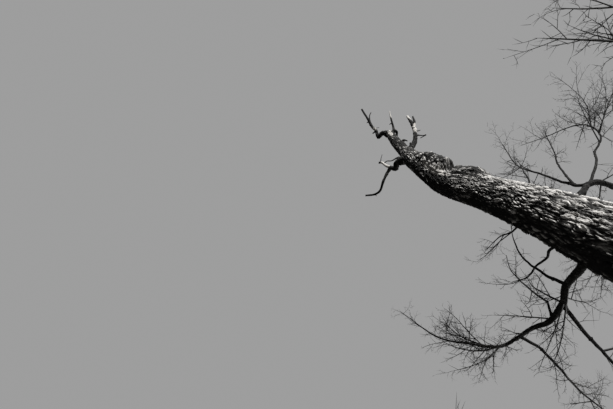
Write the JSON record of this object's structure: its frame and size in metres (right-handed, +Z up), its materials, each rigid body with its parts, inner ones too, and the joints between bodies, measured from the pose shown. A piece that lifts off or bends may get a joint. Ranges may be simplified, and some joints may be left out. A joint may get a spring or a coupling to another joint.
{
  "type": "bare winter tree",
  "caption": "Whole leafless tree: leaning old trunk with root flare, bark swellings and a dead broken top, low living boughs and masses of bare twigs.",
  "frame": {"origin": "middle of the trunk's foot, on the flat cut at ground level", "axes": "+Z up; +Y away from the side that the trunk leans towards; +X towards the side of the trunk with the swellings"},
  "size_m": [8.8902, 8.1377, 19.4257],
  "materials": {
    "bark": "coarse, deeply furrowed bark, dry and matt",
    "dead_wood": "weathered grey dead wood, partly bare of bark",
    "twig_bark": "smooth thin twig bark, slightly satin"
  },
  "bodies": {
    "root": {"trunk": "bark", "dead_arm": "dead_wood", "dead_arm_prong": "dead_wood", "dead_spike": "dead_wood", "dead_fork": "dead_wood", "dead_fork_prong": "dead_wood", "dead_crook": "dead_wood", "dead_crook_prong": "dead_wood", "west_bough": "bark", "west_riser": "bark", "west_back_limb": "bark", "west_spur": "bark", "west_low_limb": "bark", "east_bough": "bark", "east_riser": "bark", "east_spur": "bark", "east_arch": "bark", "north_bough": "bark", "north_bough_right_limb": "bark", "northwest_bough": "bark", "northwest_bough_left_limb": "bark", "northwest_bough_right_limb": "bark", "northeast_bough": "bark", "northeast_bough_left_limb": "bark", "northeast_bough_right_limb": "bark", "southwest_bough": "bark", "southwest_bough_right_limb": "bark", "southeast_bough": "bark", "southeast_bough_left_limb": "bark", "upper_bough": "bark", "north_bough_twigs": "twig_bark", "north_bough_right_limb_twigs": "twig_bark", "northwest_bough_twigs": "twig_bark", "northwest_bough_left_limb_twigs": "twig_bark", "northwest_bough_right_limb_twigs": "twig_bark", "northeast_bough_twigs": "twig_bark", "northeast_bough_left_limb_twigs": "twig_bark", "northeast_bough_right_limb_twigs": "twig_bark", "southwest_bough_twigs": "twig_bark", "southwest_bough_right_limb_twigs": "twig_bark", "southeast_bough_twigs": "twig_bark", "southeast_bough_left_limb_twigs": "twig_bark", "upper_bough_twigs": "twig_bark", "west_bough_twigs": "twig_bark", "west_riser_twigs": "twig_bark", "west_back_twigs": "twig_bark", "west_spur_twigs": "twig_bark", "west_low_twigs": "twig_bark", "east_bough_twigs": "twig_bark", "east_riser_twigs": "twig_bark", "east_spur_twigs": "twig_bark", "east_arch_twigs": "twig_bark", "west_shoot_twigs": "twig_bark", "upper_west_shoot_twigs": "twig_bark", "east_shoot_twigs": "twig_bark"}
  },
  "joints": []
}
